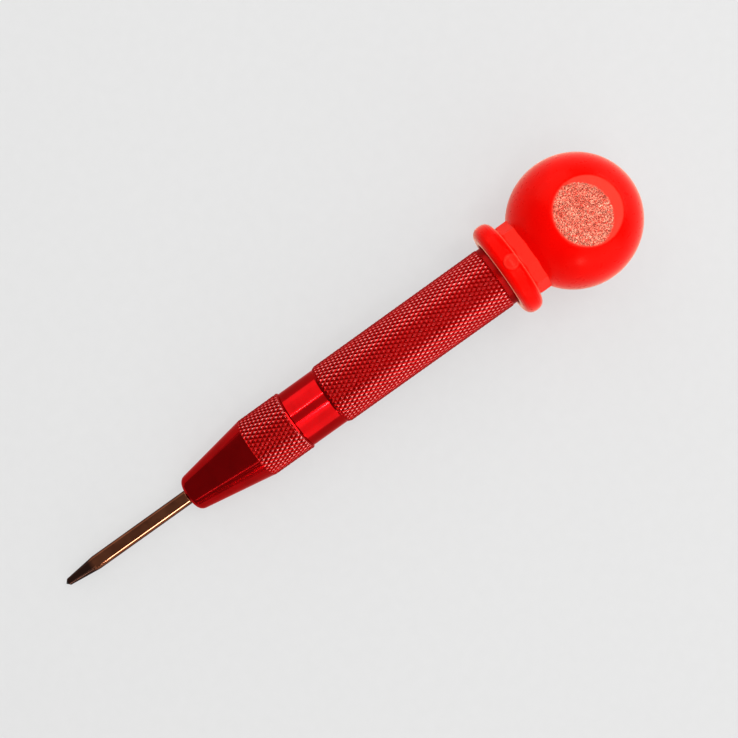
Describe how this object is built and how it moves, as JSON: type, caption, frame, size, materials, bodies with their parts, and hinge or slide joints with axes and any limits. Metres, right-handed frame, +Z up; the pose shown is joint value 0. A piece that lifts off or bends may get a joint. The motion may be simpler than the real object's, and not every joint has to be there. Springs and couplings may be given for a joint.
{
  "type": "automatic centre punch",
  "caption": "Spring-loaded automatic centre punch: a steel point in a knurled nose sleeve and barrel, with a plastic palm ball that sets the blow.",
  "frame": {"origin": "on the bench under the middle of the tool's bounding box, with the tool lying at rest on the front of its nose band and on the front edge of the ball's lower flat", "axes": "+X from the point towards the ball, +Z up from the bench; the tool's own axis climbs 4.48 degrees from +X towards +Z, in the XZ plane"},
  "size_m": [0.1368, 0.0264, 0.0241],
  "materials": {
    "point_steel": "ground and polished",
    "machined_steel": "turned",
    "spring_steel": "oiled wire",
    "hardened_steel": "blackened",
    "red_anodised": "red anodised, knurled",
    "cap_metal": "red anodised",
    "ball_plastic": "glossy, grained on the flats"
  },
  "bodies": {
    "barrel": {"barrel": "red_anodised", "nose_sleeve": "red_anodised", "centring_bush": "hardened_steel", "main_spring": "spring_steel"},
    "point": {"punch_point": "point_steel", "point_holder": "machined_steel"},
    "joint_pin": {"joint_pin": "machined_steel", "return_spring": "spring_steel"},
    "hammer": {"hammer": "machined_steel"},
    "adjuster": {"spring_seat": "machined_steel"},
    "cap": {"adjusting_cap": "cap_metal", "ball_cap": "ball_plastic"}
  },
  "joints": [
    {"name": "point_slide", "type": "slide", "parent": "barrel", "child": "point", "axis": [0.9969, 0, 0.0781], "range_m": [0, 0.009], "stiffness_N_per_m": 3000, "springref_m": -0.01},
    {"name": "pin_tilt", "type": "hinge", "parent": "point", "child": "joint_pin", "pos_m": [-0.02106, 0, 0.00648], "axis": [0, 1, 0], "range_deg": [0, 2.56]},
    {"name": "hammer_slide", "type": "slide", "parent": "barrel", "child": "hammer", "axis": [0.9969, 0, 0.0781], "range_m": [0, 0.009], "deforming": ["main_spring"]},
    {"name": "adjuster_slide", "type": "slide", "parent": "barrel", "child": "adjuster", "axis": [0.9969, 0, 0.0781], "range_m": [0, 0.003], "deforming": ["main_spring"]},
    {"name": "cap_turn", "type": "hinge", "parent": "adjuster", "child": "cap", "pos_m": [0.04225, 0, 0.01144], "axis": [0.9969, 0, 0.0781], "range_deg": [0, 1081]}
  ],
  "couplings": [
    {"joint": "pin_tilt", "follows": "point_slide", "rad_per_m": 4.865},
    {"joint": "hammer_slide", "follows": "point_slide", "ratio": 1},
    {"joint": "cap_turn", "follows": "adjuster_slide", "rad_per_m": 6283.2}
  ]
}
